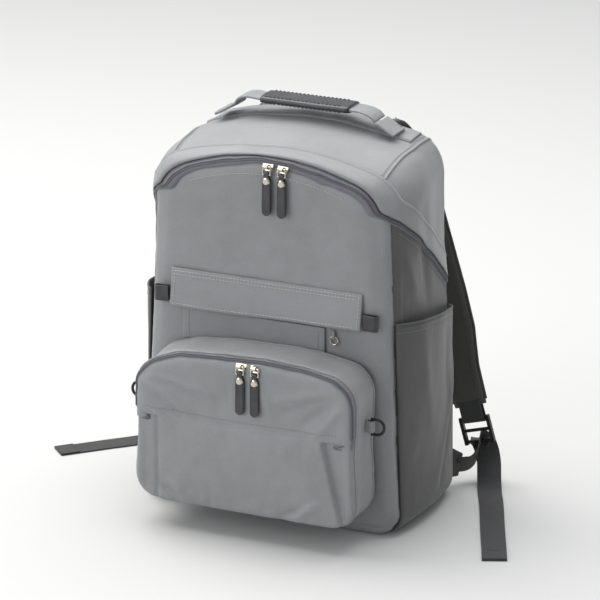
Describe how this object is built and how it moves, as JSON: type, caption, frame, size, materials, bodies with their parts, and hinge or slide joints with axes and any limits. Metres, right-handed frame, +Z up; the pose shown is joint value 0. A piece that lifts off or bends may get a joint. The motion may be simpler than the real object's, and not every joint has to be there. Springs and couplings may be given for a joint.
{
  "type": "daypack",
  "caption": "Soft rectangular daypack with an arched zip, a hanging zipped pouch, a band flap, side pockets, a top carry handle and two padded shoulder straps",
  "frame": {"origin": "middle of the bottom panel, on the ground the pack stands on", "axes": "+Z up, -Y towards the front with the pouch, +Y towards the shoulder straps, +X to the right of someone facing the front"},
  "size_m": [0.5506, 0.2752, 0.4145],
  "materials": {
    "shell_fabric": "grey nylon sateen, low sheen",
    "side_fabric": "grey nylon sateen, shaded side panels",
    "zip_tape": "woven tape with nylon coil",
    "piping": "covered cord piping",
    "lining": "plain lining",
    "foam": "closed-cell foam sheet",
    "board": "thin stiffener board",
    "leather": "dark semi-gloss leather",
    "strap_pad": "padded strap cover",
    "webbing": "ribbed webbing",
    "plastic": "moulded acetal",
    "nickel": "polished nickel plate",
    "dark_metal": "black enamel"
  },
  "bodies": {
    "pack": {"front_panel": "shell_fabric", "top_panel": "shell_fabric", "side_panel_left": "side_fabric", "side_panel_right": "side_fabric", "back_panel": "shell_fabric", "bottom_panel": "shell_fabric", "zip_flap": "shell_fabric", "main_zip": "zip_tape", "back_yoke": "shell_fabric", "corner_piping": "piping", "side_pocket_left": "side_fabric", "side_pocket_right": "side_fabric", "back_foam": "foam", "base_board": "board", "inner_sleeve": "lining", "side_loop_left": "leather", "side_loop_right": "leather", "handle_ends": "shell_fabric", "anchor_wing_left": "side_fabric", "anchor_wing_right": "side_fabric", "lower_webbing_left": "webbing", "lower_webbing_right": "webbing", "webbing_tail_left": "webbing", "webbing_tail_right": "webbing", "panel_studs": "nickel", "hanging_tab": "shell_fabric", "clip_tab": "shell_fabric"},
    "handle": {"handle_strap": "shell_fabric", "handle_grip": "leather"},
    "strap_left": {"shoulder_strap_left": "strap_pad", "strap_loop_left": "webbing"},
    "strap_right": {"shoulder_strap_right": "strap_pad", "strap_loop_right": "webbing"},
    "lock_left": {"ladder_lock_left": "plastic"},
    "lock_right": {"ladder_lock_right": "plastic"},
    "zip_left": {"main_slider_left": "nickel"},
    "zip_right": {"main_slider_right": "nickel"},
    "pull_left": {"main_bail_left": "nickel", "main_pull_left": "leather"},
    "pull_right": {"main_bail_right": "nickel", "main_pull_right": "leather"},
    "band": {"band_flap": "shell_fabric", "band_snaps": "nickel"},
    "pouch": {"hanging_panel": "shell_fabric", "pouch_back": "shell_fabric", "pouch_gusset": "side_fabric", "pouch_front": "shell_fabric", "pouch_front_pocket": "shell_fabric", "pouch_zip": "zip_tape", "ring_tab_left": "side_fabric", "ring_tab_right": "side_fabric"},
    "ring_left": {"d_ring_left": "dark_metal"},
    "ring_right": {"d_ring_right": "dark_metal"},
    "pouch_zip_left": {"pouch_slider_left": "nickel"},
    "pouch_zip_right": {"pouch_slider_right": "nickel"},
    "small_pull_left": {"pouch_bail_left": "nickel", "pouch_pull_left": "leather"},
    "small_pull_right": {"pouch_bail_right": "nickel", "pouch_pull_right": "leather"},
    "clip": {"clip_ring": "nickel"}
  },
  "joints": [
    {"name": "handle_tip", "type": "hinge", "parent": "pack", "child": "handle", "pos_m": [0, 0.022, 0.4016], "axis": [1, 0, 0], "range_deg": [-25, 25]},
    {"name": "strap_left_swing", "type": "hinge", "parent": "pack", "child": "strap_left", "pos_m": [-0.05, 0.065, 0.379], "axis": [1, 0, 0], "range_deg": [0, 12], "deforming": ["lower_webbing_left", "webbing_tail_left"]},
    {"name": "lock_left_tilt", "type": "hinge", "parent": "strap_left", "child": "lock_left", "pos_m": [-0.148, 0.11, 0.066], "axis": [0.9613, 0, -0.2756], "range_deg": [-20, 20]},
    {"name": "strap_right_swing", "type": "hinge", "parent": "pack", "child": "strap_right", "pos_m": [0.05, 0.065, 0.379], "axis": [1, 0, 0], "range_deg": [0, 12], "deforming": ["lower_webbing_right", "webbing_tail_right"]},
    {"name": "lock_right_tilt", "type": "hinge", "parent": "strap_right", "child": "lock_right", "pos_m": [0.148, 0.11, 0.066], "axis": [0.9613, 0, 0.2756], "range_deg": [-20, 20]},
    {"name": "zip_left_run", "type": "hinge", "parent": "pack", "child": "zip_left", "pos_m": [0, -0.07769, 0.14773], "axis": [0, -1, 0], "range_deg": [0, 18]},
    {"name": "zip_right_run", "type": "hinge", "parent": "pack", "child": "zip_right", "pos_m": [0, -0.07769, 0.14773], "axis": [0, 1, 0], "range_deg": [0, 14]},
    {"name": "pull_left_lift", "type": "hinge", "parent": "zip_left", "child": "pull_left", "pos_m": [0.00202, -0.0834, 0.37294], "axis": [-1, 0, 0], "range_deg": [0, 100]},
    {"name": "pull_right_lift", "type": "hinge", "parent": "zip_right", "child": "pull_right", "pos_m": [0.01822, -0.0834, 0.37221], "axis": [-1, 0, 0], "range_deg": [0, 100]},
    {"name": "band_lift", "type": "hinge", "parent": "pack", "child": "band", "pos_m": [0, -0.0794, 0.254], "axis": [-1, 0, 0], "range_deg": [0, 90]},
    {"name": "pouch_swing", "type": "hinge", "parent": "pack", "child": "pouch", "pos_m": [0, -0.0812, 0.2145], "axis": [-1, 0, 0], "range_deg": [0, 25]},
    {"name": "pouch_zip_left_run", "type": "slide", "parent": "pouch", "child": "pouch_zip_left", "axis": [-1, 0, 0], "range_m": [0, 0.035]},
    {"name": "pouch_zip_right_run", "type": "slide", "parent": "pouch", "child": "pouch_zip_right", "axis": [1, 0, 0], "range_m": [0, 0.04]},
    {"name": "small_pull_left_lift", "type": "hinge", "parent": "pouch_zip_left", "child": "small_pull_left", "pos_m": [0, -0.14249, 0.18416], "axis": [-1, 0, 0], "range_deg": [0, 100]},
    {"name": "small_pull_right_lift", "type": "hinge", "parent": "pouch_zip_right", "child": "small_pull_right", "pos_m": [0.016, -0.14249, 0.18416], "axis": [-1, 0, 0], "range_deg": [0, 100]},
    {"name": "ring_left_swing", "type": "hinge", "parent": "pouch", "child": "ring_left", "pos_m": [-0.1252, -0.104, 0.128], "axis": [0, 0, 1], "range_deg": [-60, 60]},
    {"name": "ring_right_swing", "type": "hinge", "parent": "pouch", "child": "ring_right", "pos_m": [0.1252, -0.104, 0.128], "axis": [0, 0, 1], "range_deg": [-60, 60]},
    {"name": "clip_lift", "type": "hinge", "parent": "pack", "child": "clip", "pos_m": [0.074, -0.082, 0.207], "axis": [-1, 0, 0], "range_deg": [0, 90]}
  ]
}
